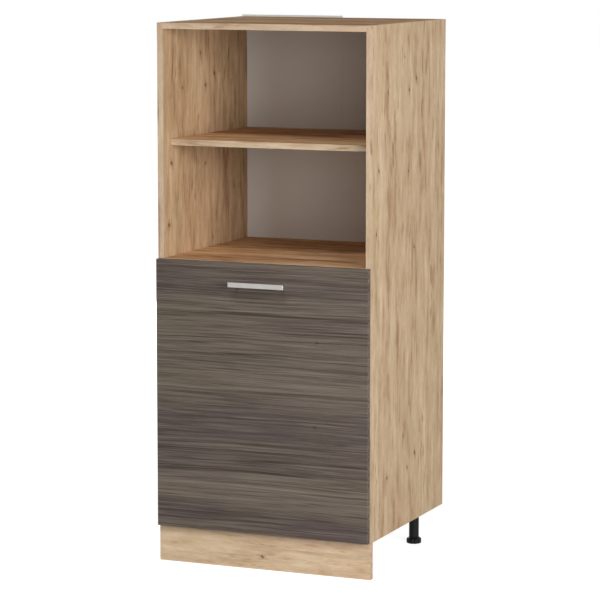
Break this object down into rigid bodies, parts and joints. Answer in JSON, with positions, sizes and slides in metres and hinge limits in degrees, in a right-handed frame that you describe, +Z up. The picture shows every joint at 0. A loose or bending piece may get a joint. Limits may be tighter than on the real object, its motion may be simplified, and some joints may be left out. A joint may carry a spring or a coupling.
{
  "type": "oven housing cabinet",
  "caption": "Half-tall kitchen cabinet on adjustable legs: open oven niche with a removable shelf above a hinged-door cupboard with a bar handle and a clip-on plinth.",
  "frame": {"origin": "on the floor, under the middle of the whole object's box", "axes": "+Z up, front towards -Y, +X to the right for someone facing the front"},
  "size_m": [0.6, 0.5928, 1.427],
  "materials": {
    "oak_board": "light oak decor laminate, fine vertical grain, satin",
    "oak_edging": "light oak decor edging, satin",
    "striped_front": "grey-brown striped wood decor, satin",
    "striped_edging": "grey-brown decor edging, satin",
    "hardboard": "thin hardboard, off-white painted face",
    "white_plastic": "white extruded strip",
    "beech": "fluted beech dowel",
    "zinc": "cast zinc, matt",
    "steel": "zinc-plated steel",
    "nickel": "nickel-plated steel",
    "satin_aluminium": "satin anodised",
    "black_plastic": "moulded, matt",
    "clear_rubber": "soft translucent pad"
  },
  "bodies": {
    "carcass": {"side_panel_left": "oak_board", "side_panel_right": "oak_board", "top_panel": "oak_board", "niche_floor": "oak_board", "bottom_panel": "oak_board", "carcass_edging": "oak_edging", "back_panel_left": "hardboard", "back_panel_right": "hardboard", "back_joint_strip": "white_plastic", "back_nails": "steel", "cam_locks": "zinc", "cam_bolts": "steel", "dowels": "beech", "niche_shelf_pins": "nickel", "cupboard_shelf_pins": "nickel", "hinge_plates": "nickel", "hinge_plate_screws": "steel", "hinge_arms": "nickel", "hinge_arm_screws": "steel", "hinge_arm_pins": "steel", "leg_sockets": "black_plastic", "leg_socket_screws": "steel", "leg_tubes": "black_plastic"},
    "hinge_links": {"hinge_links": "nickel"},
    "door": {"door_panel": "striped_front", "door_edging": "striped_edging", "handle_bar": "satin_aluminium", "handle_posts": "satin_aluminium", "handle_screws": "steel", "hinge_cups": "nickel", "hinge_cup_pins": "steel", "hinge_cup_screws": "steel", "door_bumpers": "clear_rubber"},
    "niche_shelf": {"niche_shelf": "oak_board", "niche_shelf_edging": "oak_edging"},
    "cupboard_shelf": {"cupboard_shelf": "oak_board", "cupboard_shelf_edging": "oak_edging"},
    "plinth": {"plinth_board": "oak_board", "plinth_clips": "black_plastic", "plinth_clip_screws": "steel"},
    "foot_front_left": {"foot_front_left": "black_plastic"},
    "foot_front_right": {"foot_front_right": "black_plastic"},
    "foot_rear_left": {"foot_rear_left": "black_plastic"},
    "foot_rear_right": {"foot_rear_right": "black_plastic"}
  },
  "joints": [
    {"name": "hinge_link_swing", "type": "hinge", "parent": "carcass", "child": "hinge_links", "pos_m": [-0.261, -0.2428, 0.198], "axis": [0, 0, 1], "range_deg": [0, 37.1]},
    {"name": "door_turn", "type": "hinge", "parent": "hinge_links", "child": "door", "pos_m": [-0.286, -0.2501, 0.198], "axis": [0, 0, -1], "range_deg": [0, 142]},
    {"name": "niche_shelf_draw", "type": "slide", "parent": "carcass", "child": "niche_shelf", "axis": [0, -1, 0], "range_m": [0, 0.48]},
    {"name": "cupboard_shelf_lift", "type": "slide", "parent": "carcass", "child": "cupboard_shelf", "axis": [0, 0, 1], "range_m": [0, 0.12]},
    {"name": "plinth_pull", "type": "slide", "parent": "carcass", "child": "plinth", "axis": [0, -1, 0], "range_m": [0, 0.15]},
    {"name": "foot_front_left_level", "type": "slide", "parent": "carcass", "child": "foot_front_left", "axis": [0, 0, -1], "range_m": [0, 0.02]},
    {"name": "foot_front_right_level", "type": "slide", "parent": "carcass", "child": "foot_front_right", "axis": [0, 0, -1], "range_m": [0, 0.02]},
    {"name": "foot_rear_left_level", "type": "slide", "parent": "carcass", "child": "foot_rear_left", "axis": [0, 0, -1], "range_m": [0, 0.02]},
    {"name": "foot_rear_right_level", "type": "slide", "parent": "carcass", "child": "foot_rear_right", "axis": [0, 0, -1], "range_m": [0, 0.02]}
  ],
  "couplings": [
    {"joint": "hinge_link_swing", "follows": "door_turn", "ratio": 0.26056}
  ]
}
